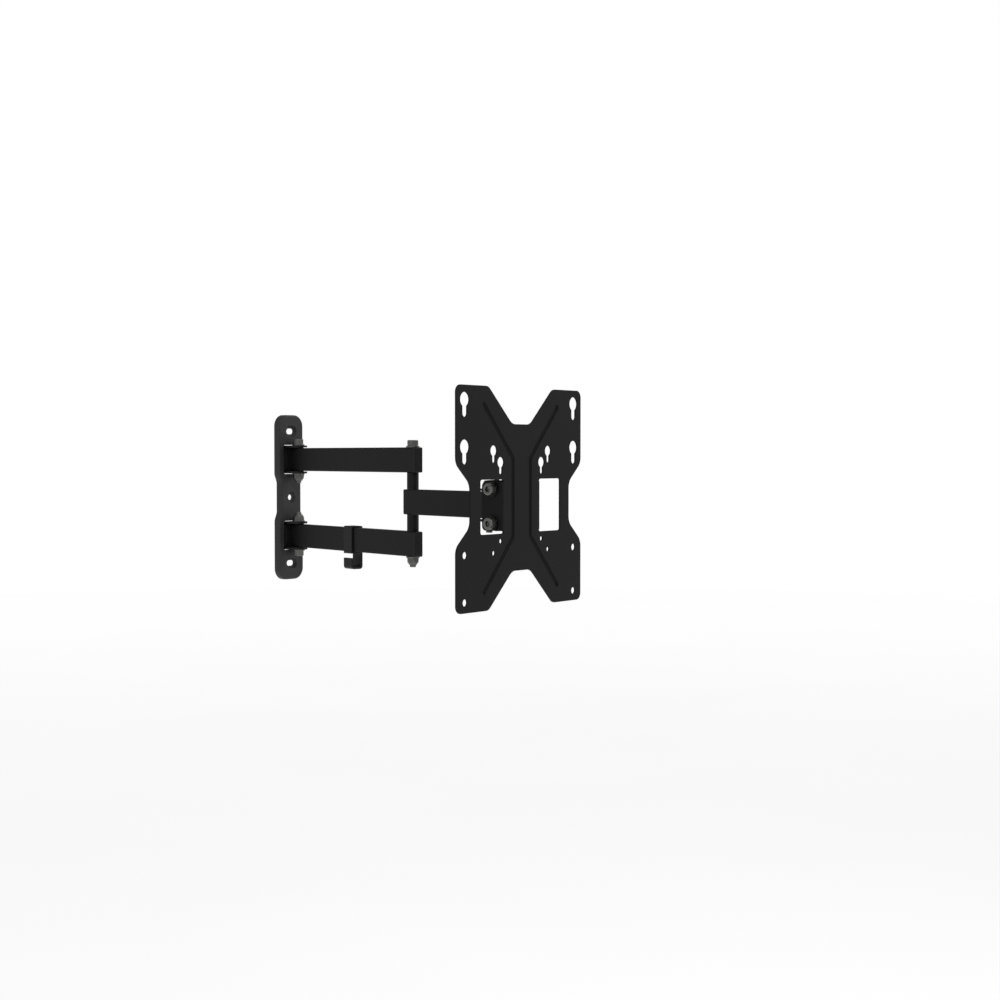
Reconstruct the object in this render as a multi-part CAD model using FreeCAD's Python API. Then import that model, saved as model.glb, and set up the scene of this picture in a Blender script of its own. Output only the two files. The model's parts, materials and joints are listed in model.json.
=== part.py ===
import FreeCAD, Part
import math
import os

# A full motion wall mount for a television, in millimetres.
# The wall is the plane Y = 0 and the room is on the -Y side. +Z is up.
# The origin is on the wall, midway between the two hinges of the wall plate.

V = FreeCAD.Vector
UP = V(0, 0, 1)

# ---- driving dimensions -------------------------------------------------

# arms
BEAM_HEIGHT = 30.0
BEAM_THICKNESS = 12.0
BEAM_WALL = 1.2
BEAM_CORNER = 1.6
BEAM_LEVEL = 50.0  # height of each fork beam's middle, above and below the origin
BEAM_OVERHANG = 10.0  # from a pin to the cut end of the tube
CAP_FLANGE = 2.6
CAP_EDGE = 2.0
CAP_PLUG = 4.4
FORK_LENGTH = 261.0  # wall pin to elbow pin
FOREARM_LENGTH = 148.0  # elbow pin to head pin
PIN_STANDOFF = 22.0  # wall to wall pin
REST_SWING = -14.4  # degrees from straight out, seen from above

# fasteners
BOLT_RADIUS = 4.0
HEAD_RADIUS = 6.5
HEAD_HEIGHT = 7.0
HEAD_SOCKET = 6.0  # across flats
HEAD_CHAMFER = 0.7
WASHER_RADIUS = 8.0
WASHER_THICKNESS = 1.6
NUT_FLATS = 13.0
NUT_HEIGHT = 8.0
NUT_HEX_HEIGHT = 5.6
THREAD_END = 3.0  # bolt showing past its nut
THREAD_SLACK = 0.02
HOLE_RADIUS = 4.2  # clearance hole for a bolt
BUSH_BORE = 4.05
BUSH_STEM = 4.75
BUSH_FLANGE = 7.0
BUSH_FLANGE_THICKNESS = 0.8
BUSH_DEPTH = 10.0
SLEEVE_RADIUS = 7.0
GAP = 0.1  # between two faces that turn on each other

# wall plate and its two hinge brackets
PLATE_HEIGHT = 217.0
PLATE_WIDTH = 45.0
WAIST_WIDTH = 36.8
WAIST_FLAT = 20.0  # half height of the narrow part
WAIST_END = 30.0
PLATE_CORNER = 15.0
PAN_DEPTH = 9.0
PAN_SHEET = 2.0
PAN_EDGE = 2.6
SCREW_SPACING = 174.0
SCREW_RADIUS = 3.75
SCREW_SLOT = 13.0
DIMPLE_DEPTH = 2.6
DIMPLE_MOUTH = 7.6  # radius at the pan's front
DIMPLE_FLOOR = 5.8
BRACKET_SHEET = 2.5
BRACKET_WEB_HALF = 17.5
EAR_HALF = 11.5
WINDOW_HALF = 14.5
WINDOW_SLIT = 0.7
WINDOW_CORNER = 3.5

# screen plate
SHEET = 2.0
HEAD_STANDOFF = 45.0  # head pin to the screen plate's front face
OUTLINE_RISE = 9.3  # middle of the outline above the arm's level
OUTLINE_HALF_WIDTH = 114.4
OUTLINE_HALF_HEIGHT = 120.5
OUTER_CORNER = 8.0
TAB_CORNER = 11.0
SIDE_RISE = 2.2  # middle of the side notches above the arm's level
SIDE_NOTCH_X = 90.4
SIDE_NOTCH_FLAT = 23.0
SIDE_NOTCH_END = 44.5
SIDE_NOTCH_BLEND = 15.0
TOP_NOTCH_Z = 80.3
TOP_NOTCH_FLAT = 17.1
TOP_NOTCH_BLEND = 14.0
TAB_INNER = 59.6
BEAD_X = 16.0
BEAD_KNEE = 43.0
BEAD_END_X = 67.5
BEAD_END_Z = 100.5
BEAD_RADIUS = 3.0
BEAD_DEPTH = 2.2
KEY_LARGE = (4.2, 8.0, 14.3)  # slot radius, head radius, rise of the head
KEY_SMALL = (2.8, 6.0, 10.4)
HOLE_LARGE = 4.0
HOLE_SMALL = 2.7
TOOL_WINDOW_OUTER = 73.5
TOOL_WINDOW_HALF_HEIGHT = 29.4
TOOL_WINDOW_CORNER = 2.5
EAR_FACE = 34.5  # outer face of the screen plate's ear
EAR_DEPTH = 28.5
EAR_HALF_HEIGHT = 26.8
EAR_CORNER = 5.0
TILT_SETBACK = 14.4  # tilt bolts behind the plate's front face
TILT_HALF_SPACING = 18.8
TILT_UP = 5.0
TILT_DOWN = 12.0
TILT_SLOT_HALF = 4.15

# swivel bracket
DISC_THICKNESS = 0.8
FLANGE_TOP = 29.4
FLANGE_BOTTOM = -27.8
FLANGE_FRONT = 8.0  # behind the screen plate's front face
FLANGE_CORNER = 3.5
WEB_BACK = 29.3
WEB_TOP = 27.9
WEB_BOTTOM = -24.5
FOLD_RADIUS = 1.0  # inside a fold
TAB_HALF = 11.5

# cable clip
CLIP_WALL = 2.0
CLIP_SLACK = 0.15
CLIP_LENGTH = 18.0
CLIP_START = 122.0  # along the lower beam, from the wall pin
HOOK_DEPTH = 19.6
HOOK_WALL = 3.0
HOOK_CORNER = 4.0
HOOK_MOUTH = 5.8

# ---- places worked out from the dimensions ------------------------------

SWING = math.radians(REST_SWING)
ARM_DIRECTION = V(math.sin(SWING), -math.cos(SWING), 0)
WALL_PIN = V(0, -PIN_STANDOFF, 0)
ELBOW_PIN = WALL_PIN + ARM_DIRECTION * FORK_LENGTH
HEAD_PIN = ELBOW_PIN + ARM_DIRECTION * FOREARM_LENGTH
PLATE_FRONT = HEAD_PIN.y - HEAD_STANDOFF
HALF_BEAM = BEAM_HEIGHT / 2
BUSH_TOP = HALF_BEAM + BUSH_FLANGE_THICKNESS
EAR_INSIDE = BUSH_TOP + GAP  # above a beam's middle
EAR_OUTSIDE = EAR_INSIDE + BRACKET_SHEET
TILT_Y = PLATE_FRONT + TILT_SETBACK
FLANGE_FACE = EAR_FACE - SHEET - GAP - DISC_THICKNESS
EVER = 400.0  # longer than any cut needs


# ---- shapes that repeat -------------------------------------------------


def box(x0, x1, y0, y1, z0, z1):
    return Part.makeBox(x1 - x0, y1 - y0, z1 - z0, V(x0, y0, z0))


def rod(radius, start, end):
    run = end - start
    return Part.makeCylinder(radius, run.Length, start, run)


def ring(outer, inner, z0, z1):
    """An upright tube about the Z axis."""
    tube = rod(outer, V(0, 0, z0), V(0, 0, z1))
    return tube.cut(rod(inner, V(0, 0, z0 - 1), V(0, 0, z1 + 1)))


def fused(shapes):
    whole = shapes[0]
    for shape in shapes[1:]:
        whole = whole.fuse(shape)
    return whole.removeSplitter()


def group(shapes):
    return shapes[0] if len(shapes) == 1 else Part.makeCompound(shapes)


def outline(corners, place):
    """A closed face from (a, b, radius) corners; place turns (a, b) into a point."""
    count = len(corners)
    edges, ends = [], []
    for i, (a, b, radius) in enumerate(corners):
        here = V(a, b, 0)
        before = V(*corners[i - 1][:2], 0) - here
        after = V(*corners[(i + 1) % count][:2], 0) - here
        before.normalize()
        after.normalize()
        if radius == 0:
            ends.append((here, here, here))
            continue
        half = before.getAngle(after) / 2
        reach = radius / math.tan(half)
        middle = before + after
        middle.normalize()
        centre = here + middle * (radius / math.sin(half))
        ends.append((here + before * reach, centre - middle * radius, here + after * reach))
    for i, (start, top, end) in enumerate(ends):
        if (end - start).Length > 1e-7:
            points = [place(p.x, p.y) for p in (start, top, end)]
            edges.append(Part.Arc(*points).toShape())
        following = ends[(i + 1) % count][0]
        if (following - end).Length > 1e-7:
            edges.append(Part.LineSegment(place(end.x, end.y), place(following.x, following.y)).toShape())
    return Part.Face(Part.Wire(edges))


def rectangle(a0, a1, b0, b1, radius=0):
    return [(a0, b0, radius), (a1, b0, radius), (a1, b1, radius), (a0, b1, radius)]


def edges_at(shape, y):
    """The edges that lie on the plane of constant y."""
    return [e for e in shape.Edges if all(abs(v.Y - y) < 1e-6 for v in e.Vertexes)]


def facing_room(y):
    """Puts an outline on the plane of constant y, as (x, z)."""
    return lambda a, b: V(a, y, b)


def about_level(shape, above):
    """The shape itself above the arm's level, or its mirror image below it."""
    return shape if above else shape.mirror(V(0, 0, 0), UP)


def along_arm(shape, start):
    """Takes a shape built along -Y from a pin at the origin and lays it on the arm's line."""
    shape = shape.copy()
    shape.rotate(V(0, 0, 0), UP, REST_SWING)
    shape.translate(start)
    return shape


# ---- fasteners ----------------------------------------------------------


def hexagon(flats, height):
    radius = flats / math.sqrt(3)
    corners = [V(radius * math.cos(math.radians(a)), radius * math.sin(math.radians(a)), 0) for a in range(0, 420, 60)]
    return Part.Face(Part.makePolygon(corners)).extrude(V(0, 0, height))


def socket_bolt(length):
    """A socket head bolt: the underside of its head is at Z = 0 and its shank runs down."""
    head = rod(HEAD_RADIUS, V(0, 0, 0), V(0, 0, HEAD_HEIGHT))
    top = [e for e in head.Edges if len(e.Vertexes) == 1 and e.CenterOfMass.z > HEAD_HEIGHT - 0.1]
    head = head.makeChamfer(HEAD_CHAMFER, top)
    socket = hexagon(HEAD_SOCKET, HEAD_HEIGHT)
    socket.translate(V(0, 0, HEAD_HEIGHT / 2))
    shank = rod(BOLT_RADIUS, V(0, 0, -length), V(0, 0, 1))
    tip = [e for e in shank.Edges if len(e.Vertexes) == 1 and e.CenterOfMass.z < 1 - length]
    shank = shank.makeChamfer(HEAD_CHAMFER, tip)
    return head.fuse(shank).cut(socket).removeSplitter()


def lock_nut():
    """A lock nut: its bearing face is at Z = 0 and its collar points down."""
    body = hexagon(NUT_FLATS, NUT_HEX_HEIGHT)
    body.translate(V(0, 0, -NUT_HEX_HEIGHT))
    corner = NUT_FLATS / math.sqrt(3)
    cone = Part.makeCone(corner + 0.3, corner - 0.9, NUT_HEX_HEIGHT, V(0, 0, 0), V(0, 0, -1))
    body = body.common(cone)
    collar_height = NUT_HEIGHT - NUT_HEX_HEIGHT
    collar = Part.makeCone(NUT_FLATS / 2 - 0.6, BOLT_RADIUS + 0.9, collar_height, V(0, 0, -NUT_HEX_HEIGHT), V(0, 0, -1))
    bore = rod(BOLT_RADIUS + THREAD_SLACK, V(0, 0, 1), V(0, 0, -NUT_HEIGHT - 1))
    return body.fuse(collar).cut(bore).removeSplitter()


def stack(top, bottom):
    """Washer, bolt and nut for an upright pin clamping from top to bottom, about the Z axis."""
    bolt = socket_bolt(top - bottom + 2 * WASHER_THICKNESS + NUT_HEIGHT + THREAD_END)
    bolt.translate(V(0, 0, top + WASHER_THICKNESS))
    nut = lock_nut()
    nut.translate(V(0, 0, bottom - WASHER_THICKNESS))
    washers = [
        ring(WASHER_RADIUS, HOLE_RADIUS, top, top + WASHER_THICKNESS),
        ring(WASHER_RADIUS, HOLE_RADIUS, bottom - WASHER_THICKNESS, bottom),
    ]
    return {"bolt": bolt, "nut": nut, "washers": washers}


def moved(shapes, offset):
    out = []
    for shape in shapes:
        shape = shape.copy()
        shape.translate(offset)
        out.append(shape)
    return out


# ---- wall plate and hinges ----------------------------------------------


def pan_corners(inset):
    """The wall plate's outline, drawn in by inset all round."""
    wide = PLATE_WIDTH / 2 - inset
    narrow = WAIST_WIDTH / 2 - inset
    tall = PLATE_HEIGHT / 2 - inset
    corner = PLATE_CORNER - inset
    blend = 8.0
    right = [
        (wide, tall, corner),
        (wide, WAIST_END, blend),
        (narrow, WAIST_FLAT, blend),
        (narrow, -WAIST_FLAT, blend),
        (wide, -WAIST_END, blend),
        (wide, -tall, corner),
    ]
    return right + [(-x, z, r) for x, z, r in reversed(right)]


def trough(z, half_slot, start, mouth, floor):
    """A tapered stadium from the plane Y = start, deep enough for a dimple; half_slot may be zero."""
    end = start + DIMPLE_DEPTH
    pieces = [Part.makeCone(mouth, floor, DIMPLE_DEPTH, V(x, start, z), V(0, 1, 0)) for x in {-half_slot, half_slot}]
    if half_slot:
        sides = [(-half_slot, -1), (-half_slot, 1), (half_slot, 1), (half_slot, -1), (-half_slot, -1)]
        wide = Part.makePolygon([V(x, start, z + side * mouth) for x, side in sides])
        narrow = Part.makePolygon([V(x, end, z + side * floor) for x, side in sides])
        pieces.append(Part.makeLoft([wide, narrow], True, True))
    return fused(pieces)


def sink_screw(pan, z, half_slot):
    """Presses a seat for a wall screw into the pan and opens its hole."""
    front = -PAN_DEPTH
    pan = pan.fuse(trough(z, half_slot, front + PAN_SHEET, DIMPLE_MOUTH + 1.2, DIMPLE_FLOOR + PAN_SHEET))
    pan = pan.cut(trough(z, half_slot, front, DIMPLE_MOUTH, DIMPLE_FLOOR))
    for x in {-half_slot, half_slot}:
        pan = pan.cut(rod(SCREW_RADIUS, V(x, -EVER, z), V(x, EVER, z)))
    if half_slot:
        pan = pan.cut(box(-half_slot, half_slot, -EVER, EVER, z - SCREW_RADIUS, z + SCREW_RADIUS))
    return pan


def wall_plate():
    """A pressed pan with its rim against the wall."""
    pan = outline(pan_corners(0), facing_room(0)).extrude(V(0, -PAN_DEPTH, 0))
    pan = pan.makeFillet(PAN_EDGE, edges_at(pan, -PAN_DEPTH))
    hollow = outline(pan_corners(PAN_SHEET), facing_room(1)).extrude(V(0, PAN_SHEET - PAN_DEPTH - 1, 0))
    hollow = hollow.makeFillet(PAN_EDGE - PAN_SHEET, edges_at(hollow, PAN_SHEET - PAN_DEPTH))
    pan = pan.cut(hollow)
    window_low = BEAM_LEVEL - EAR_OUTSIDE - WINDOW_SLIT
    window_high = BEAM_LEVEL + EAR_OUTSIDE + WINDOW_SLIT
    opening = rectangle(-WINDOW_HALF, WINDOW_HALF, window_low, window_high, WINDOW_CORNER)
    window = outline(opening, facing_room(1)).extrude(V(0, -EVER, 0))
    for above in (True, False):
        pan = pan.cut(about_level(window, above))
    half_slot = SCREW_SLOT / 2 - SCREW_RADIUS
    for z, half in ((SCREW_SPACING / 2, half_slot), (0, 0), (-SCREW_SPACING / 2, half_slot)):
        pan = sink_screw(pan, z, half)
    return pan.removeSplitter()


def hinge_bracket(above):
    """A welded U bracket: its web lies behind the pan and its two ears reach out through the window."""
    back = PAN_SHEET - PAN_DEPTH  # the pan's inner face
    web = box(
        -BRACKET_WEB_HALF,
        BRACKET_WEB_HALF,
        back,
        back + BRACKET_SHEET,
        BEAM_LEVEL - EAR_OUTSIDE,
        BEAM_LEVEL + EAR_OUTSIDE,
    )
    pieces = [web]
    for low in (BEAM_LEVEL + EAR_INSIDE, BEAM_LEVEL - EAR_OUTSIDE):
        ear = box(-EAR_HALF, EAR_HALF, -PIN_STANDOFF, back + BRACKET_SHEET, low, low + BRACKET_SHEET)
        tip = rod(EAR_HALF, V(0, -PIN_STANDOFF, low), V(0, -PIN_STANDOFF, low + BRACKET_SHEET))
        pieces += [ear, tip]
    bracket = fused(pieces).cut(rod(HOLE_RADIUS, WALL_PIN, WALL_PIN + UP * EVER))
    return about_level(bracket, above)


def wall_hinge_hardware():
    """Both wall pins; their nuts face each other between the hinges."""
    pin = stack(BEAM_LEVEL + EAR_OUTSIDE, BEAM_LEVEL - EAR_OUTSIDE)
    out = {"bolts": [], "nuts": [], "washers": []}
    for above in (True, False):
        out["bolts"].append(about_level(pin["bolt"], above))
        out["nuts"].append(about_level(pin["nut"], above))
        out["washers"] += [about_level(w, above) for w in pin["washers"]]
    return {name: group(moved(shapes, WALL_PIN)) for name, shapes in out.items()}


# ---- arms, built along -Y from the pin at the origin --------------------


def beam(length, level, pin_radius_start, pin_radius_end):
    """A rectangular tube with a hole for the pin near each end."""
    half = BEAM_THICKNESS / 2

    def section(inset):
        corners = rectangle(
            inset - half,
            half - inset,
            level - HALF_BEAM + inset,
            level + HALF_BEAM - inset,
            max(BEAM_CORNER - inset, 0.4),
        )
        return outline(corners, facing_room(BEAM_OVERHANG))

    run = V(0, -length - 2 * BEAM_OVERHANG, 0)
    tube = section(0).extrude(run).cut(section(BEAM_WALL).extrude(run))
    for y, radius in ((0, pin_radius_start), (-length, pin_radius_end)):
        tube = tube.cut(rod(radius, V(0, y, level - EVER), V(0, y, level + EVER)))
    return tube


def end_cap(level, y, outward):
    """A moulded plug: flange on the tube's cut end and a stub inside it. outward is 1 or -1 along Y."""
    half = BEAM_THICKNESS / 2
    flange = outline(
        rectangle(-half, half, level - HALF_BEAM, level + HALF_BEAM, BEAM_CORNER), facing_room(y)
    ).extrude(V(0, outward * CAP_FLANGE, 0))
    flange = flange.makeFillet(CAP_EDGE, edges_at(flange, y + outward * CAP_FLANGE))
    inset = BEAM_WALL + 0.05
    plug = outline(
        rectangle(inset - half, half - inset, level - HALF_BEAM + inset, level + HALF_BEAM - inset, 0.4),
        facing_room(y),
    ).extrude(V(0, -outward * CAP_PLUG, 0))
    return flange.fuse(plug).removeSplitter()


def bush_pair(y, level):
    """Two flanged bushes, let into a beam from above and below."""
    half = ring(BUSH_FLANGE, BUSH_BORE, HALF_BEAM, BUSH_TOP)
    stem = ring(BUSH_STEM, BUSH_BORE, HALF_BEAM - BUSH_DEPTH, HALF_BEAM)
    upper = half.fuse(stem).removeSplitter()
    lower = upper.mirror(V(0, 0, 0), UP)
    return moved([upper, lower], V(0, y, level))


def fork():
    """The first arm: two beams, joined at the elbow by one long bolt and two sleeves."""
    parts = {}
    start_hole = BUSH_STEM + 0.02
    for name, level in (("upper", BEAM_LEVEL), ("lower", -BEAM_LEVEL)):
        parts[name + "_beam"] = beam(FORK_LENGTH, level, start_hole, HOLE_RADIUS)
        parts[name + "_beam_wall_cap"] = end_cap(level, BEAM_OVERHANG, 1)
        parts[name + "_beam_elbow_cap"] = end_cap(level, -FORK_LENGTH - BEAM_OVERHANG, -1)
    parts["wall_hinge_bushes"] = group(bush_pair(0, BEAM_LEVEL) + bush_pair(0, -BEAM_LEVEL))
    elbow = stack(BEAM_LEVEL + HALF_BEAM, -BEAM_LEVEL - HALF_BEAM)
    sleeve = ring(SLEEVE_RADIUS, HOLE_RADIUS, EAR_INSIDE, BEAM_LEVEL - HALF_BEAM)
    at_elbow = V(0, -FORK_LENGTH, 0)
    parts["elbow_bolt"] = moved([elbow["bolt"]], at_elbow)[0]
    parts["elbow_nut"] = moved([elbow["nut"]], at_elbow)[0]
    parts["elbow_washers"] = group(moved(elbow["washers"], at_elbow))
    parts["upper_elbow_sleeve"] = moved([sleeve], at_elbow)[0]
    parts["lower_elbow_sleeve"] = moved([about_level(sleeve, False)], at_elbow)[0]
    return {name: along_arm(shape, WALL_PIN) for name, shape in parts.items()}


def forearm():
    """The second arm: one beam with bushes at both ends."""
    hole = BUSH_STEM + 0.02
    parts = {
        "forearm_beam": beam(FOREARM_LENGTH, 0, hole, hole),
        "forearm_elbow_cap": end_cap(0, BEAM_OVERHANG, 1),
        "forearm_head_cap": end_cap(0, -FOREARM_LENGTH - BEAM_OVERHANG, -1),
        "forearm_elbow_bushes": group(bush_pair(0, 0)),
        "forearm_head_bushes": group(bush_pair(-FOREARM_LENGTH, 0)),
    }
    return {name: along_arm(shape, ELBOW_PIN) for name, shape in parts.items()}


def cable_clip():
    """A moulded clip: a band round the lower beam and a hook below it, open on the left."""
    inner_x = BEAM_THICKNESS / 2 + CLIP_SLACK
    outer_x = inner_x + CLIP_WALL
    inner_z = HALF_BEAM + CLIP_SLACK
    outer_z = inner_z + CLIP_WALL
    near = -CLIP_START
    run = V(0, -CLIP_LENGTH, 0)

    def slab(a0, a1, b0, b1, radius):
        corners = rectangle(a0, a1, b0 - BEAM_LEVEL, b1 - BEAM_LEVEL, radius)
        return outline(corners, facing_room(near)).extrude(run)

    band = slab(-outer_x, outer_x, -outer_z, outer_z, CLIP_WALL).cut(slab(-inner_x, inner_x, -inner_z, inner_z, 1.0))
    bottom = -outer_z - HOOK_DEPTH
    hook_x = outer_x - HOOK_WALL
    hook = slab(-outer_x, outer_x, bottom, 0, HOOK_CORNER)
    hook = hook.cut(slab(-inner_x, inner_x, -inner_z, EVER, 0))
    hook = hook.cut(slab(-hook_x, hook_x, bottom + HOOK_WALL, -outer_z, HOOK_CORNER - HOOK_WALL))
    mouth = slab(-2 * outer_x, 0, -outer_z - HOOK_MOUTH, -outer_z, 0)
    clip = band.fuse(hook.cut(mouth)).removeSplitter()
    return along_arm(clip, WALL_PIN)


# ---- head ---------------------------------------------------------------


def swivel_bracket():
    """A folded bracket: two tabs on the head pin behind, two flanges for the tilt bolts in front."""
    front = PLATE_FRONT + FLANGE_FRONT
    web_back = PLATE_FRONT + WEB_BACK
    web_front = web_back - BRACKET_SHEET
    x = HEAD_PIN.x
    inside = FLANGE_FACE - BRACKET_SHEET
    section = [
        (x - FLANGE_FACE, front, 0),
        (x - FLANGE_FACE, web_back, FOLD_RADIUS + BRACKET_SHEET),
        (x + FLANGE_FACE, web_back, FOLD_RADIUS + BRACKET_SHEET),
        (x + FLANGE_FACE, front, 0),
        (x + inside, front, 0),
        (x + inside, web_front, FOLD_RADIUS),
        (x - inside, web_front, FOLD_RADIUS),
        (x - inside, front, 0),
    ]
    channel = outline(section, lambda a, b: V(a, b, FLANGE_BOTTOM))
    channel = channel.extrude(UP * (FLANGE_TOP - FLANGE_BOTTOM))
    side_view = [
        (front, FLANGE_BOTTOM, FLANGE_CORNER),
        (web_back, WEB_BOTTOM, FLANGE_CORNER),
        (web_back, WEB_TOP, FLANGE_CORNER),
        (front, FLANGE_TOP, FLANGE_CORNER / 2),
    ]
    bracket = channel.common(outline(side_view, lambda a, b: V(-EVER, a, b)).extrude(V(2 * EVER, 0, 0)))
    for low in (EAR_INSIDE, -EAR_OUTSIDE):
        tab = box(x - TAB_HALF, x + TAB_HALF, web_front, HEAD_PIN.y, low, low + BRACKET_SHEET)
        tip = rod(TAB_HALF, HEAD_PIN + UP * low, HEAD_PIN + UP * (low + BRACKET_SHEET))
        bracket = bracket.fuse(tab).fuse(tip)
    bracket = bracket.removeSplitter().cut(rod(HOLE_RADIUS, HEAD_PIN - UP * EVER, HEAD_PIN + UP * EVER))
    for z in (-TILT_HALF_SPACING, TILT_HALF_SPACING):
        bracket = bracket.cut(rod(HOLE_RADIUS, V(x - EVER, TILT_Y, z), V(x + EVER, TILT_Y, z)))
    return bracket


def head_pin_hardware():
    pin = stack(EAR_OUTSIDE, -EAR_OUTSIDE)
    return {
        "swivel_bolt": moved([pin["bolt"]], HEAD_PIN)[0],
        "swivel_nut": moved([pin["nut"]], HEAD_PIN)[0],
        "swivel_washers": group(moved(pin["washers"], HEAD_PIN)),
    }


def laid_sideways(shape, side, z):
    """Turns an upright fastener so that its top points out to the left (-1) or right (1) of the head."""
    shape = shape.copy()
    shape.rotate(V(0, 0, 0), V(0, 1, 0), 90 * side)
    shape.translate(V(HEAD_PIN.x, TILT_Y, z))
    return shape


def tilt_hardware():
    """Four bolts, two on each side, with washers, nuts and the thin discs that the plate tilts on."""
    seat = EAR_FACE + GAP
    inside = FLANGE_FACE - BRACKET_SHEET
    pin = stack(seat, inside)
    disc = ring(WASHER_RADIUS, HOLE_RADIUS, FLANGE_FACE, FLANGE_FACE + DISC_THICKNESS)
    out = {"tilt_bolts": [], "tilt_nuts": [], "tilt_washers": [], "tilt_friction_discs": []}
    for side in (-1, 1):
        for z in (-TILT_HALF_SPACING, TILT_HALF_SPACING):
            out["tilt_bolts"].append(laid_sideways(pin["bolt"], side, z))
            out["tilt_nuts"].append(laid_sideways(pin["nut"], side, z))
            out["tilt_washers"] += [laid_sideways(w, side, z) for w in pin["washers"]]
            out["tilt_friction_discs"].append(laid_sideways(disc, side, z))
    return {name: group(shapes) for name, shapes in out.items()}


# ---- screen plate, built about X = 0 and then moved to the head ---------


def plate_corners():
    """The X-shaped outline as (x, z, radius)."""
    wide, tall = OUTLINE_HALF_WIDTH, OUTLINE_HALF_HEIGHT
    low = SIDE_RISE - OUTLINE_RISE
    right = [
        (TAB_INNER, tall, TAB_CORNER),
        (wide, tall, OUTER_CORNER),
        (wide, low + SIDE_NOTCH_END, SIDE_NOTCH_BLEND),
        (SIDE_NOTCH_X, low + SIDE_NOTCH_FLAT, SIDE_NOTCH_BLEND),
        (SIDE_NOTCH_X, low - SIDE_NOTCH_FLAT, SIDE_NOTCH_BLEND),
        (wide, low - SIDE_NOTCH_END, SIDE_NOTCH_BLEND),
        (wide, -tall, OUTER_CORNER),
        (TAB_INNER, -tall, TAB_CORNER),
        (TOP_NOTCH_FLAT, -TOP_NOTCH_Z, TOP_NOTCH_BLEND),
    ]
    right = [(TOP_NOTCH_FLAT, TOP_NOTCH_Z, TOP_NOTCH_BLEND)] + right
    whole = right + [(-x, z, r) for x, z, r in reversed(right)]
    return [(x, z + OUTLINE_RISE, r) for x, z, r in whole]


def bead(radius, side):
    """The round-bottomed tool that presses one chevron bead; side is -1 or 1."""
    y = PLATE_FRONT + BEAD_DEPTH - BEAD_RADIUS
    knees = [(BEAD_END_X, BEAD_END_Z), (BEAD_X, BEAD_KNEE), (BEAD_X, -BEAD_KNEE), (BEAD_END_X, -BEAD_END_Z)]
    points = [V(side * x, y, z + OUTLINE_RISE) for x, z in knees]
    pieces = [rod(radius, a, b) for a, b in zip(points, points[1:])]
    pieces += [Part.makeSphere(radius, p) for p in points]
    return fused(pieces)


def keyhole(x, z, sizes):
    slot, head, rise = sizes
    front, back = V(0, -EVER, 0), V(0, EVER, 0)
    foot, top = V(x, PLATE_FRONT, z), V(x, PLATE_FRONT, z + rise)
    pieces = [rod(slot, foot + front, foot + back), rod(head, top + front, top + back)]
    pieces.append(box(x - slot, x + slot, PLATE_FRONT - 9, PLATE_FRONT + 9, z, z + rise))
    return fused(pieces)


def round_hole(x, z, radius):
    return rod(radius, V(x, PLATE_FRONT - 9, z), V(x, PLATE_FRONT + 9, z))


def tilt_slot():
    """The arc that the upper tilt bolts slide in, centred on the lower ones."""
    reach = 2 * TILT_HALF_SPACING
    pivot = V(-EVER, TILT_Y, -TILT_HALF_SPACING)
    outer, inner = reach + TILT_SLOT_HALF, reach - TILT_SLOT_HALF

    def at(radius, degrees):
        angle = math.radians(degrees)
        return pivot + V(0, math.sin(angle) * radius, math.cos(angle) * radius)

    middle = (TILT_DOWN - TILT_UP) / 2
    edges = [
        Part.Arc(at(outer, -TILT_UP), at(outer, middle), at(outer, TILT_DOWN)).toShape(),
        Part.LineSegment(at(outer, TILT_DOWN), at(inner, TILT_DOWN)).toShape(),
        Part.Arc(at(inner, TILT_DOWN), at(inner, middle), at(inner, -TILT_UP)).toShape(),
        Part.LineSegment(at(inner, -TILT_UP), at(outer, -TILT_UP)).toShape(),
    ]
    slot = Part.Face(Part.Wire(edges)).extrude(V(2 * EVER, 0, 0))
    ends = [rod(TILT_SLOT_HALF, at(reach, a), at(reach, a) + V(2 * EVER, 0, 0)) for a in (-TILT_UP, TILT_DOWN)]
    return fused([slot] + ends)


def plate_ear(side):
    """One ear, lanced out of the tool window and folded back."""
    outer, inner = EAR_FACE, EAR_FACE - SHEET
    section = [
        (outer, PLATE_FRONT, SHEET - 0.3),
        (outer, PLATE_FRONT + EAR_DEPTH, 0),
        (inner, PLATE_FRONT + EAR_DEPTH, 0),
        (inner, PLATE_FRONT + SHEET, 0),
        (inner - SHEET, PLATE_FRONT + SHEET, 0),
        (inner - SHEET, PLATE_FRONT, 0),
    ]
    ear = outline(section, lambda a, b: V(side * a, b, -EAR_HALF_HEIGHT)).extrude(UP * 2 * EAR_HALF_HEIGHT)
    side_view = [
        (PLATE_FRONT - 1, -EAR_HALF_HEIGHT, 0),
        (PLATE_FRONT + EAR_DEPTH, -EAR_HALF_HEIGHT, EAR_CORNER),
        (PLATE_FRONT + EAR_DEPTH, EAR_HALF_HEIGHT, EAR_CORNER),
        (PLATE_FRONT - 1, EAR_HALF_HEIGHT, 0),
    ]
    return ear.common(outline(side_view, lambda a, b: V(-EVER, a, b)).extrude(V(2 * EVER, 0, 0)))


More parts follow.
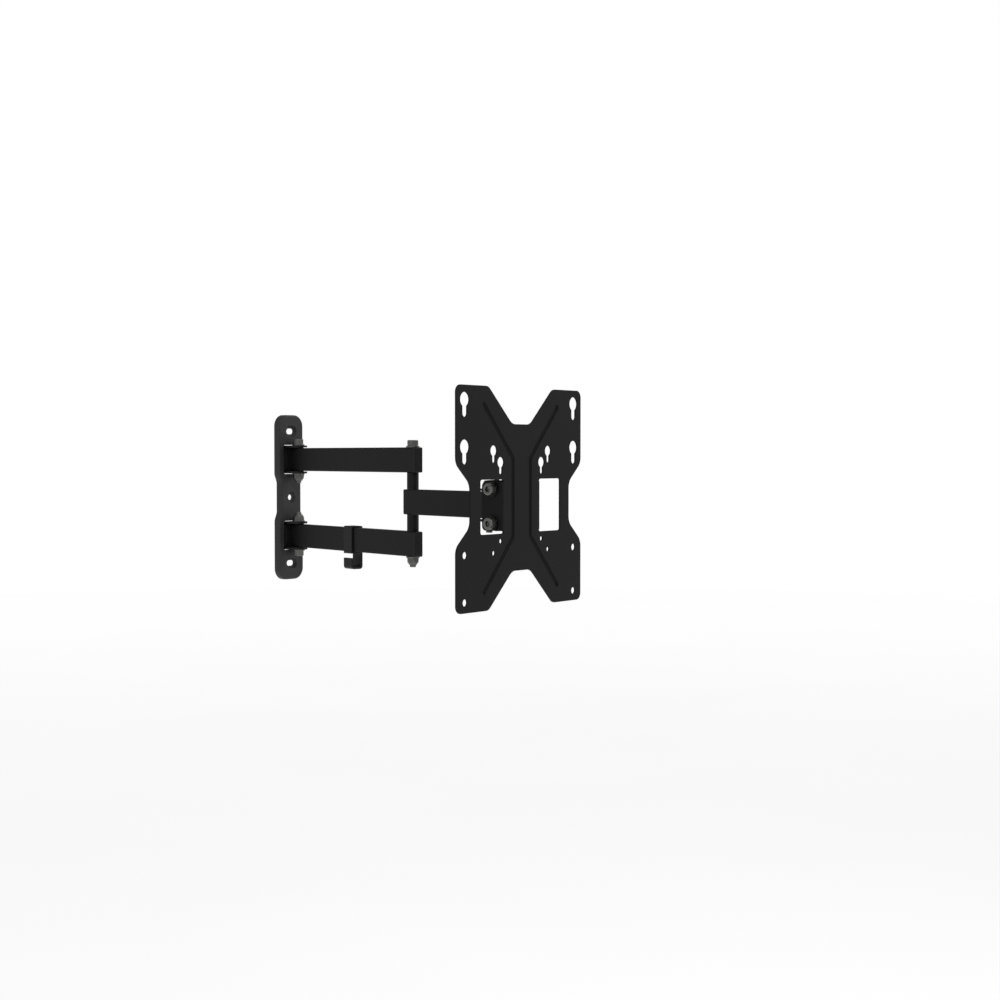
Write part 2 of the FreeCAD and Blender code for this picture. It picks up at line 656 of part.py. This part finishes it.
def screen_plate():
    plate = outline(plate_corners(), facing_room(PLATE_FRONT)).extrude(V(0, SHEET, 0))
    behind = box(-EVER, EVER, PLATE_FRONT + SHEET / 2, PLATE_FRONT + EVER, -EVER, EVER)
    for side in (-1, 1):
        plate = plate.fuse(bead(BEAD_RADIUS + SHEET, side).common(behind))
    for side in (-1, 1):
        plate = plate.cut(bead(BEAD_RADIUS, side))
    half = TOOL_WINDOW_HALF_HEIGHT
    for side in (-1, 1):
        x0, x1 = sorted((side * (EAR_FACE - SHEET), side * TOOL_WINDOW_OUTER))
        window = outline(rectangle(x0, x1, -half, half, TOOL_WINDOW_CORNER), facing_room(PLATE_FRONT - 9))
        plate = plate.cut(window.extrude(V(0, 18, 0)))
    for side in (-1, 1):
        for x, z in ((100, 100), (100, 50)):
            plate = plate.cut(keyhole(side * x, z, KEY_LARGE))
            plate = plate.cut(round_hole(side * x, -z, HOLE_LARGE))
        for x, z in ((50, 50), (37.5, 37.5)):
            plate = plate.cut(keyhole(side * x, z, KEY_SMALL))
            plate = plate.cut(round_hole(side * x, -z, HOLE_SMALL))
    plate = plate.fuse(plate_ear(-1)).fuse(plate_ear(1))
    plate = plate.removeSplitter()
    pivot = rod(BUSH_BORE, V(-EVER, TILT_Y, -TILT_HALF_SPACING), V(EVER, TILT_Y, -TILT_HALF_SPACING))
    plate = plate.cut(pivot).cut(tilt_slot())
    plate.translate(V(HEAD_PIN.x, 0, 0))
    return plate


# ---- the whole mount ----------------------------------------------------


def nodes():
    wall = wall_hinge_hardware()
    out = {
        "wall_plate": wall_plate(),
        "upper_hinge_bracket": hinge_bracket(True),
        "lower_hinge_bracket": hinge_bracket(False),
        "wall_hinge_bolts": wall["bolts"],
        "wall_hinge_nuts": wall["nuts"],
        "wall_hinge_washers": wall["washers"],
        "cable_clip": cable_clip(),
        "swivel_bracket": swivel_bracket(),
        "screen_plate": screen_plate(),
    }
    for family in (fork(), forearm(), head_pin_hardware(), tilt_hardware()):
        out.update(family)
    return out


os.makedirs("parts", exist_ok=True)
for name, shape in nodes().items():
    solids = shape.Solids
    bad = [s for s in solids if not s.isValid()]
    print(f"{name}: {len(solids)} solids, {shape.Volume / 1000:.2f} cm3" + (", NOT VALID" if bad else ""))
    shape.exportStep(f"parts/{name}.step")
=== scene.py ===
import json
import math

import bpy
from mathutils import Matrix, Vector


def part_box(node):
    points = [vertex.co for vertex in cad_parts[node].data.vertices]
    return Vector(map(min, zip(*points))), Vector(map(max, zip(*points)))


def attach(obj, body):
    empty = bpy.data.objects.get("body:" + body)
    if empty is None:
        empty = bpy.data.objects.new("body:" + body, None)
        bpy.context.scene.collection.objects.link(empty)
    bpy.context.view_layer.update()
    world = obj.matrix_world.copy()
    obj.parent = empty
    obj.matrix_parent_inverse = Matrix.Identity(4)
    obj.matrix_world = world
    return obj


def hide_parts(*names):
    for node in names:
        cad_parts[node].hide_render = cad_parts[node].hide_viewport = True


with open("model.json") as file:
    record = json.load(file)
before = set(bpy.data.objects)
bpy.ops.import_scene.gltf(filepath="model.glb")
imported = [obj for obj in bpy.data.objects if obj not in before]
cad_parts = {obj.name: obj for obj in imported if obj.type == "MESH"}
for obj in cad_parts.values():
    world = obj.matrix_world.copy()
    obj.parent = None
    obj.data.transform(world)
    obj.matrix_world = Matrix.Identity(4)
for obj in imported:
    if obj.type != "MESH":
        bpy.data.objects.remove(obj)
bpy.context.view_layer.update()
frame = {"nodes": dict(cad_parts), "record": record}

MM = 0.001


# ---- node building ------------------------------------------------------


class Wire:
    """A socket that does maths: an expression on wires adds its Math nodes."""

    def __init__(self, tree, socket):
        self.tree, self.socket = tree, socket

    def maths(self, operation, *values):
        return self.tree.node("ShaderNodeMath", {"operation": operation}, list(values))

    def __add__(self, other):
        return self.maths("ADD", self, other)

    def __sub__(self, other):
        return self.maths("SUBTRACT", self, other)

    def __rsub__(self, other):
        return self.maths("SUBTRACT", other, self)

    def __mul__(self, other):
        return self.maths("MULTIPLY", self, other)

    def __truediv__(self, other):
        return self.maths("DIVIDE", self, other)

    def __gt__(self, other):
        return self.maths("GREATER_THAN", self, other)

    def __lt__(self, other):
        return self.maths("LESS_THAN", self, other)

    __radd__, __rmul__ = __add__, __mul__

    def clamped(self):
        return self.maths("MINIMUM", self.maths("MAXIMUM", self, 0.0), 1.0)

    def __abs__(self):
        return self.maths("ABSOLUTE", self)

    def out(self, name):
        """Another output of the node this wire comes from."""
        return Wire(self.tree, self.socket.node.outputs[name])


class Tree:
    """A shader or geometry node tree that is filled through one method."""

    def __init__(self, nodes):
        self.nodes, self.links = nodes.nodes, nodes.links

    def node(self, kind, settings=None, inputs=None):
        made = self.nodes.new(kind)
        for name, value in (settings or {}).items():
            setattr(made, name, value)
        pairs = enumerate(inputs) if isinstance(inputs, (list, tuple)) else (inputs or {}).items()
        for name, value in pairs:
            if value is None:
                continue
            if isinstance(value, Wire):
                self.links.new(value.socket, made.inputs[name])
            else:
                made.inputs[name].default_value = value
        shown = [s for s in made.outputs if s.enabled]
        return Wire(self, shown[0]) if shown else made


    def flat(self, x, y):
        """A vector with no height."""
        return self.node("ShaderNodeCombineXYZ", None, [x, y])


class Finish(Tree):
    """A material: patterns read Object coordinates in metres, so sizes are real ones."""

    def __init__(self, name):
        self.material = bpy.data.materials.new(name)
        self.material.use_nodes = True
        self.material.node_tree.nodes.clear()
        super().__init__(self.material.node_tree)
        self.place = self.node("ShaderNodeTexCoord").out("Object")

    def noise(self, size, detail=2.0, roughness=0.5, place=None):
        """Cloudy variation with features about size metres across, from 0 to 1."""
        values = {"Vector": place or self.place, "Scale": 1 / size, "Detail": detail, "Roughness": roughness}
        return self.node("ShaderNodeTexNoise", None, values)

    def cells(self, size, feature="F1"):
        values = {"Vector": self.place, "Scale": 1 / size}
        return self.node("ShaderNodeTexVoronoi", {"feature": feature}, values)

    def axes(self):
        split = self.node("ShaderNodeSeparateXYZ", None, [self.place])
        return split.out("X"), split.out("Y"), split.out("Z")

    def stretched(self, x, y, z, turn=0.0):
        """Object coordinates turned about the upright axis and multiplied along each axis."""
        values = {"Vector": self.place, "Rotation": (0, 0, turn), "Scale": (x, y, z)}
        return self.node("ShaderNodeMapping", {"vector_type": "POINT"}, values)

    def between(self, wire, low, high):
        """wire from low to high, as 0 to 1."""
        values = {"Value": wire, "From Min": low, "From Max": high}
        return self.node("ShaderNodeMapRange", {"clamp": True, "interpolation_type": "SMOOTHSTEP"}, values)

    def mixed(self, factor, first, second):
        """A colour between two colours or colour wires."""
        made = self.nodes.new("ShaderNodeMix")
        made.data_type = "RGBA"
        for index, value in ((0, factor), (6, first), (7, second)):
            if isinstance(value, Wire):
                self.links.new(value.socket, made.inputs[index])
            else:
                made.inputs[index].default_value = (*value, 1) if index else value
        return Wire(self, made.outputs[2])

    def edges(self, radius):
        """The softened normal, and a mask that is 1 on corners sharper than the softening."""
        soft = self.node("ShaderNodeBevel", {"samples": 6}, {"Radius": radius})
        true = self.node("ShaderNodeNewGeometry").out("True Normal")
        dot = self.node("ShaderNodeVectorMath", {"operation": "DOT_PRODUCT"}, [soft, true]).out("Value")
        return soft, self.between(dot, 0.99, 0.85)

    def hollow(self, reach):
        """1 deep in a groove or an inner corner narrower than reach, and 0 in the open."""
        occlusion = self.node("ShaderNodeAmbientOcclusion", {"samples": 8}, {"Distance": reach})
        return self.between(occlusion.out("AO"), 0.92, 0.45)

    def bump(self, height, distance, strength=1.0, normal=None):
        values = {"Strength": strength, "Distance": distance, "Height": height, "Normal": normal}
        return self.node("ShaderNodeBump", None, values)

    def surface(self, **values):
        sockets = {name.replace("_", " "): value for name, value in values.items()}
        shader = self.node("ShaderNodeBsdfPrincipled", None, sockets)
        self.node("ShaderNodeOutputMaterial", None, {"Surface": shader})
        return self.material


# ---- finishes -----------------------------------------------------------


CORNER = 0.00045  # metres, the softening of a coated corner


def powder_coat(name, colour, sheen_roughness, gloss, bend=CORNER, rubbed=0.35):
    """Satin black powder coat: a fine orange peel, a little dust, painted shade deep in grooves and inner
    corners, and corners rubbed smoother and paler, their paler band partly a painted highlight.

    bend is how far from a corner the rubbing and its painted highlight reach, and rubbed is how strong both
    are.
    """
    coat = Finish(name)
    soft, _ = coat.edges(CORNER)
    _, corner = coat.edges(bend)
    peel = coat.noise(0.0011, 2.0, 0.45)
    fine = coat.noise(0.00035, 1.0)
    cloud = coat.noise(0.045, 3.0, 0.6)
    handling = coat.noise(0.012, 4.0, 0.65)
    speck = coat.between(coat.cells(0.0016), 0.16, 0.05)
    scuff = coat.between(coat.noise(0.004, 3.0, 0.7, coat.stretched(1, 1, 7)), 0.66, 0.78)
    # the paler corner band is partly edge wear and partly a painted highlight where corners catch the light
    worn = (corner * coat.between(handling, 0.32, 0.62) * rubbed).clamped()
    low, high = [0.86 * c for c in colour], [1.16 * c for c in colour]
    base = coat.mixed(cloud, low, high)
    base = coat.mixed(speck * 0.25, base, [1.9 * c for c in colour])
    base = coat.mixed(worn, base, (0.07, 0.07, 0.071))
    # painted shade: the coat is painted much darker deep in grooves and inner corners, where shade falls
    painted_hollow_shade = coat.hollow(0.007)
    base = coat.mixed(painted_hollow_shade * 0.9, base, [0.12 * c for c in colour])
    roughness = sheen_roughness + (cloud - 0.5) * 0.10 + (fine - 0.5) * 0.06 + scuff * 0.07 - worn * 0.12
    relief = peel * 0.75 + fine * 0.25 + speck * 0.2
    normal = coat.bump(relief, 0.00007, 0.55, soft)
    return coat.surface(Base_Color=base, Roughness=roughness, Normal=normal, Specular_IOR_Level=gloss)


def zinc_steel(name, colour, roughness):
    """Dull zinc plating over turned steel: mottled spangle, faint tool marks, darker in grimy patches."""
    zinc = Finish(name)
    soft, corner = zinc.edges(0.0004)
    mottle = zinc.noise(0.0032, 4.0, 0.62)
    spangle = zinc.cells(0.0011)
    cloud = zinc.noise(0.009, 2.0)
    marks = zinc.noise(0.0009, 3.0, 0.6, zinc.stretched(1, 1, 9))
    grime = zinc.between(zinc.noise(0.0045, 5.0, 0.7), 0.56, 0.74)
    base = zinc.mixed(mottle, [0.78 * c for c in colour], [1.18 * c for c in colour])
    base = zinc.mixed(cloud * 0.25, base, (0.9 * colour[0], 0.86 * colour[1], 0.72 * colour[2]))
    base = zinc.mixed(grime * 0.45, base, [0.45 * c for c in colour])
    base = zinc.mixed(corner * 0.35, base, [2.2 * c for c in colour])
    rough = roughness + (mottle - 0.5) * 0.18 + grime * 0.12 - corner * 0.1
    normal = zinc.bump(marks * 0.6 + spangle * 0.25 + mottle * 0.3, 0.00006, 0.5, soft)
    return zinc.surface(Base_Color=base, Roughness=rough, Metallic=1.0 - grime * 0.35, Normal=normal)


def moulded_plastic(name, colour, roughness, gloss, texture=0.00045):
    """Injection moulded plastic: spark-eroded grain with faint flow marks and shiny rubbed corners."""
    nylon = Finish(name)
    soft, corner = nylon.edges(0.0005)
    grain = nylon.noise(texture, 2.0, 0.7)
    pits = nylon.cells(texture * 2.4)
    flow = nylon.noise(0.008, 2.0, 0.5, nylon.stretched(0.35, 0.35, 1.4, 0.6))
    patch = nylon.noise(0.02, 3.0, 0.6)
    base = nylon.mixed(flow, [0.8 * c for c in colour], [1.25 * c for c in colour])
    base = nylon.mixed(corner * 0.3, base, [2.4 * c for c in colour])
    rough = roughness + (flow - 0.5) * 0.14 + (patch - 0.5) * 0.1 - corner * 0.12
    normal = nylon.bump(grain * 0.7 + pits * 0.3, 0.00006, 0.6, soft)
    return nylon.surface(Base_Color=base, Roughness=rough, Normal=normal, Specular_IOR_Level=gloss)


finishes = {
    # the wall plate's rubbing reaches 3.5 mm so its paler band also paints a highlight along the bent rim
    "wall_plate_coat": powder_coat("wall plate coat", (0.026, 0.026, 0.0265), 0.50, 0.22, 0.0035, 0.6),
    "hinge_coat": powder_coat("hinge coat", (0.011, 0.011, 0.011), 0.52, 0.18),
    "arm_coat": powder_coat("arm coat", (0.0075, 0.0074, 0.0075), 0.50, 0.12),
    "sleeve_coat": powder_coat("sleeve coat", (0.0075, 0.0075, 0.0075), 0.47, 0.15),
    "head_coat": powder_coat("head coat", (0.0125, 0.0125, 0.0122), 0.52, 0.18),
    "screen_plate_coat": powder_coat("screen plate coat", (0.0082, 0.0081, 0.0080), 0.50, 0.10),
    "cap_plastic": moulded_plastic("cap plastic", (0.0075, 0.0075, 0.0075), 0.52, 0.20),
    "bush_plastic": moulded_plastic("bush plastic", (0.016, 0.016, 0.0155), 0.42, 0.25, 0.0003),
    "clip_plastic": moulded_plastic("clip plastic", (0.0075, 0.0075, 0.0075), 0.46, 0.17),
    "disc_plastic": moulded_plastic("disc plastic", (0.02, 0.02, 0.019), 0.45, 0.25, 0.0003),
    "bolt_steel": zinc_steel("bolt steel", (0.155, 0.155, 0.153), 0.42),
    "nut_steel": zinc_steel("nut steel", (0.125, 0.125, 0.123), 0.44),
    "washer_steel": zinc_steel("washer steel", (0.17, 0.17, 0.168), 0.40),
    "black_steel": zinc_steel("black steel", (0.028, 0.028, 0.027), 0.40),
}

worn_black_steel = zinc_steel("worn black steel", (0.165, 0.164, 0.161), 0.42)

slots = {part["node"]: part["material_slot"] for part in frame["record"]["subparts"]}
body_of = {node: body for body, nodes in frame["record"]["behaviour"]["bodies"].items() for node in nodes}
for name, piece in frame["nodes"].items():
    piece.data.materials.clear()
    piece.data.materials.append(finishes[slots[name]])


# ---- bolts: a turned blank, knurled, threaded and set in place by one node tree ----

HEAD_RADIUS, HEAD_HEIGHT = 6.5 * MM, 7.0 * MM
SHANK_RADIUS, THREAD_LENGTH, THREAD_PITCH = 4.0 * MM, 10.0 * MM, 1.25 * MM
SOCKET_FLATS, SOCKET_DEPTH = 6.0 * MM, 3.5 * MM
KNURLS, STEPS_PER_KNURL, ROWS_PER_TURN = 36, 4, 5


def turned_blank(name, length):
    """A socket head bolt turned about Z: the underside of its head is at Z = 0 and its shank runs down."""
    steps = KNURLS * STEPS_PER_KNURL
    root = SHANK_RADIUS - 0.45 * MM
    top, rim, edge = HEAD_HEIGHT, 0.35 * MM, 0.7 * MM
    floor_z = HEAD_HEIGHT - SOCKET_DEPTH
    turns = [("round", root - 0.6 * MM, -length), ("round", SHANK_RADIUS - edge, -length)]
    rows = int(THREAD_LENGTH / THREAD_PITCH * ROWS_PER_TURN)
    turns += [("round", SHANK_RADIUS, edge - length + i * THREAD_PITCH / ROWS_PER_TURN) for i in range(rows)]
    turns += [("round", SHANK_RADIUS, -0.5 * MM), ("round", SHANK_RADIUS + 0.3 * MM, 0.0)]
    turns += [("round", HEAD_RADIUS - rim, 0.0), ("round", HEAD_RADIUS, rim)]
    turns += [("round", HEAD_RADIUS, 2 * rim), ("round", HEAD_RADIUS, top - edge - rim)]
    turns += [("round", HEAD_RADIUS, top - edge)]
    turns += [("round", HEAD_RADIUS - edge, top - 0.1 * MM), ("round", HEAD_RADIUS - 1.2 * edge, top)]
    turns += [("hex", 1.08, top), ("hex", 1.0, top - 0.3 * MM)]
    turns += [("hex", 1.0, floor_z), ("hex", 0.5, floor_z - 0.8 * MM)]
    points, faces = [], []
    for kind, reach, z in turns:
        for i in range(steps):
            angle = math.tau * i / steps
            across = (angle + math.pi / 6) % (math.pi / 3) - math.pi / 6
            radius = reach if kind == "round" else reach * SOCKET_FLATS / 2 / math.cos(across)
            points.append((radius * math.cos(angle), radius * math.sin(angle), z))
    for row in range(len(turns) - 1):
        for i in range(steps):
            j = (i + 1) % steps
            faces.append((row * steps + i, row * steps + j, (row + 1) * steps + j, (row + 1) * steps + i))
    first, last = len(points), len(points) + 1
    points += [(0, 0, -length), (0, 0, floor_z - 1.5 * MM)]
    start = (len(turns) - 1) * steps
    for i in range(steps):
        j = (i + 1) % steps
        faces += [(j, i, first), (start + i, start + j, last)]
    mesh = bpy.data.meshes.new(name)
    mesh.from_pydata(points, [], faces)
    blank = bpy.data.objects.new(name, mesh)
    bpy.context.scene.collection.objects.link(blank)
    return blank


def bolt_tree():
    """Cuts the knurls and the thread into a blank, and puts one at each point, turned by its attribute."""
    group = bpy.data.node_groups.new("socket bolts", "GeometryNodeTree")
    sizes = {
        "Knurls": KNURLS,
        "Knurl Depth": 0.22 * MM,
        "Knurl Low": 0.5 * MM,
        "Knurl High": HEAD_HEIGHT - 0.8 * MM,
        "Thread Pitch": THREAD_PITCH,
        "Thread Depth": 0.5 * MM,
        "Thread Top": 0.0,
    }
    group.interface.new_socket("Places", in_out="INPUT", socket_type="NodeSocketGeometry")
    group.interface.new_socket("Blank", in_out="INPUT", socket_type="NodeSocketObject")
    group.interface.new_socket("Finish", in_out="INPUT", socket_type="NodeSocketMaterial")
    for name in sizes:
        group.interface.new_socket(name, in_out="INPUT", socket_type="NodeSocketFloat")
    group.interface.new_socket("Bolts", in_out="OUTPUT", socket_type="NodeSocketGeometry")
    tree = Tree(group)
    given = tree.nodes.new("NodeGroupInput")
    value = {s.name: Wire(tree, s) for s in given.outputs if s.name}
    blank = tree.node("GeometryNodeObjectInfo", None, {"Object": value["Blank"]}).out("Geometry")
    split = tree.node("ShaderNodeSeparateXYZ", None, [tree.node("GeometryNodeInputPosition")])
    x, y, z = split.out("X"), split.out("Y"), split.out("Z")
    angle = x.maths("ARCTAN2", y, x)
    radius = x.maths("SQRT", x * x + y * y)
    on_side = (z > value["Knurl Low"]) * (z < value["Knurl High"]) * (radius > HEAD_RADIUS - 0.01 * MM)
    flute = 0.5 - x.maths("COSINE", angle * value["Knurls"]) * 0.5
    phase = z / value["Thread Pitch"] + angle / math.tau
    crest = abs(x.maths("FRACT", phase) - 0.5) * 2
    threaded = (z < value["Thread Top"]) * (radius > SHANK_RADIUS - 0.01 * MM)
    depth = flute * on_side * value["Knurl Depth"] + crest * threaded * value["Thread Depth"]
    values = {"Vector": tree.flat(x, y), "Scale": 0.0 - depth / radius}
    inward = tree.node("ShaderNodeVectorMath", {"operation": "SCALE"}, values)
    cut = tree.node("GeometryNodeSetPosition", None, {"Geometry": blank, "Offset": inward})
    turn = tree.node("GeometryNodeInputNamedAttribute", {"data_type": "FLOAT_VECTOR"}, {"Name": "turn"})
    values = {"Points": value["Places"], "Instance": cut, "Rotation": turn}
    placed = tree.node("GeometryNodeInstanceOnPoints", None, values)
    solid = tree.node("GeometryNodeRealizeInstances", None, [placed])
    done = tree.node("GeometryNodeSetMaterial", None, {"Geometry": solid, "Material": value["Finish"]})
    tree.node("NodeGroupOutput", None, [done])
    return group, sizes


def settled(rough, name):
    """The evaluated result of an object's modifiers as a plain mesh piece; the object itself goes."""
    seen = rough.evaluated_get(bpy.context.evaluated_depsgraph_get())
    mesh = bpy.data.meshes.new_from_object(seen)
    piece = bpy.data.objects.new(name, mesh)
    bpy.context.scene.collection.objects.link(piece)
    bpy.data.objects.remove(rough)
    for face in mesh.polygons:
        face.use_smooth = False
    return piece


def socket_bolts(name, node, length, places, finish=None):
    """Bolts in place of a CAD node. places holds (position, turn) with the turn as Euler angles."""
    blank = turned_blank(name + "_blank", length)
    mesh = bpy.data.meshes.new(name + "_places")
    mesh.from_pydata([place for place, turn in places], [], [])
    turns = mesh.attributes.new("turn", "FLOAT_VECTOR", "POINT")
    for stored, (place, turn) in zip(turns.data, places):
        stored.vector = turn
    rough = bpy.data.objects.new(name + "_places", mesh)
    bpy.context.scene.collection.objects.link(rough)
    finish = finish or finishes[slots[node]]
    sizes = {**bolt_sizes, "Thread Top": THREAD_LENGTH - length, "Blank": blank, "Finish": finish}
    modifier = rough.modifiers.new("bolts", "NODES")
    modifier.node_group = bolt_group
    for item in bolt_group.interface.items_tree:
        if item.item_type == "SOCKET" and item.in_out == "INPUT" and item.name in sizes:
            value = sizes[item.name]
            modifier[item.identifier] = float(value) if isinstance(value, int) else value
    piece = settled(rough, name)
    bpy.data.objects.remove(blank)
    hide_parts(node)
    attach(piece, body_of[node])
    return piece


def middle(node):
    low, high = (Vector(corner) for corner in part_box(node))
    return low, high, (low + high) / 2


bolt_group, bolt_sizes = bolt_tree()
upright, upside_down, left, right = (0, 0, 0), (math.pi, 0, 0), (0, -math.pi / 2, 0), (0, math.pi / 2, 0)

for node, name in (("elbow_bolt", "elbow_socket_bolt"), ("swivel_bolt", "swivel_socket_bolt")):
    low, high, centre = middle(node)
    place = (centre.x, centre.y, high.z - HEAD_HEIGHT)
    socket_bolts(name, node, high.z - HEAD_HEIGHT - low.z, [(place, upright)])

low, high, centre = middle("wall_hinge_bolts")
swivel_low, swivel_high, _ = middle("swivel_bolt")
places = [
    ((centre.x, centre.y, high.z - HEAD_HEIGHT), upright),
    ((centre.x, centre.y, low.z + HEAD_HEIGHT), upside_down),
]
length = swivel_high.z - HEAD_HEIGHT - swivel_low.z  # the wall hinges take the same bolt as the head
socket_bolts("wall_hinge_socket_bolts", "wall_hinge_bolts", length, places)

TILT_BOLT_LENGTH = 19.7 * MM
low, high, centre = middle("tilt_bolts")
places = []
for z in (low.z + HEAD_RADIUS, high.z - HEAD_RADIUS):
    places.append(((low.x + HEAD_HEIGHT, centre.y, z), left))
    places.append(((high.x - HEAD_HEIGHT, centre.y, z), right))
socket_bolts("tilt_socket_bolts", "tilt_bolts", TILT_BOLT_LENGTH, places, worn_black_steel)


# ---- studio -------------------------------------------------------------


def floor():
    """A pale round floor, well below a mount hung at its usual height."""
    bpy.ops.mesh.primitive_circle_add(vertices=96, radius=14, fill_type="NGON", location=(-0.3, -0.2, -1.25))
    disc = bpy.context.object
    disc.name = "pale_floor"
    pale = Finish("pale floor")
    x, y, z = pale.axes()
    away = x.maths("SQRT", x * x + y * y)
    cloud = pale.noise(0.9, 2.0)
    grey = pale.mixed(cloud, (0.48, 0.48, 0.48), (0.52, 0.52, 0.52))
    glow = pale.mixed(pale.between(away, 2.0, 12.0), (0.66, 0.66, 0.66), (0.74, 0.74, 0.74))
    finish = {"Base_Color": grey, "Roughness": 0.9, "Specular_IOR_Level": 0.0}
    disc.data.materials.append(pale.surface(**finish, Emission_Color=glow, Emission_Strength=1.0))


def daylight():
    """White behind everything, and half as bright where it lights the mount."""
    world = bpy.data.worlds.new("soft white room")
    world.use_nodes = True
    tree = Tree(world.node_tree)
    seen = tree.node("ShaderNodeLightPath").out("Is Camera Ray")
    background = world.node_tree.nodes["Background"]
    background.inputs["Color"].default_value = (1, 1, 1, 1)
    world.node_tree.links.new((seen * 0.5 + 0.5).socket, background.inputs["Strength"])
    bpy.context.scene.world = world


def soft_light(name, place, aim, width, height, power):
    data = bpy.data.lights.new(name, "AREA")
    data.shape, data.size, data.size_y, data.energy = "RECTANGLE", width, height, power
    lamp = bpy.data.objects.new(name, data)
    lamp.location = place
    lamp.rotation_euler = (Vector(aim) - Vector(place)).to_track_quat("-Z", "Y").to_euler()
    bpy.context.scene.collection.objects.link(lamp)


def camera():
    data = bpy.data.cameras.new("camera")
    data.sensor_width = 36.0
    data.lens = 57.92
    data.clip_end = 100
    eye = bpy.data.objects.new("camera", data)
    eye.location = (-1.5244, -1.5173, 0.0560)
    eye.rotation_euler = (math.radians(90 - 1.606), 0, math.radians(-52.692))
    bpy.context.scene.collection.objects.link(eye)
    bpy.context.scene.camera = eye


floor()
daylight()
soft_light("key", (-1.6, -2.4, 2.2), (-0.05, -0.25, 0), 1.6, 1.2, 30)
soft_light("rim", (1.9, -1.2, 1.4), (-0.05, -0.25, 0), 1.2, 1.2, 18)
camera()
bpy.context.scene.view_settings.view_transform = "Standard"
